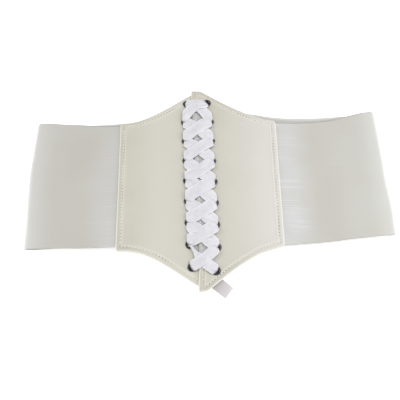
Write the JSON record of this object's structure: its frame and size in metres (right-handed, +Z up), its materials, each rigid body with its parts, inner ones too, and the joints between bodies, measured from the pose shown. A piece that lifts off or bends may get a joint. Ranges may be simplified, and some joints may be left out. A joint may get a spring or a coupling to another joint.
{
  "type": "wide elastic waist belt",
  "caption": "Wide elastic waist belt lying flat in a closed loop, with two pointed faux-leather front panels laced together by a satin ribbon through metal eyelets.",
  "frame": {"origin": "middle of the belt's outline on the surface that it lies on", "axes": "+X across the belt towards the picture's right, +Y up its height towards the picture's top, +Z up from the surface, out of the laced front"},
  "size_m": [0.3352, 0.2072, 0.0198],
  "materials": {
    "faux_leather": "smooth coated ivory, semi-matt",
    "elastic_webbing": "off-white woven elastic with fine ribs across its height",
    "satin_ribbon": "bright white satin",
    "eyelet_metal": "nickel plated"
  },
  "bodies": {
    "root": {"left_elastic": "elastic_webbing", "right_elastic": "elastic_webbing", "back_closure": "faux_leather", "left_front_panel": "faux_leather", "right_front_panel": "faux_leather", "left_eyelet_1": "eyelet_metal", "left_eyelet_2": "eyelet_metal", "left_eyelet_3": "eyelet_metal", "left_eyelet_4": "eyelet_metal", "left_eyelet_5": "eyelet_metal", "left_eyelet_6": "eyelet_metal", "left_eyelet_7": "eyelet_metal", "left_eyelet_8": "eyelet_metal", "left_eyelet_9": "eyelet_metal", "right_eyelet_1": "eyelet_metal", "right_eyelet_2": "eyelet_metal", "right_eyelet_3": "eyelet_metal", "right_eyelet_4": "eyelet_metal", "right_eyelet_5": "eyelet_metal", "right_eyelet_6": "eyelet_metal", "right_eyelet_7": "eyelet_metal", "right_eyelet_8": "eyelet_metal", "right_eyelet_9": "eyelet_metal", "lace_ribbon": "satin_ribbon"}
  },
  "joints": []
}
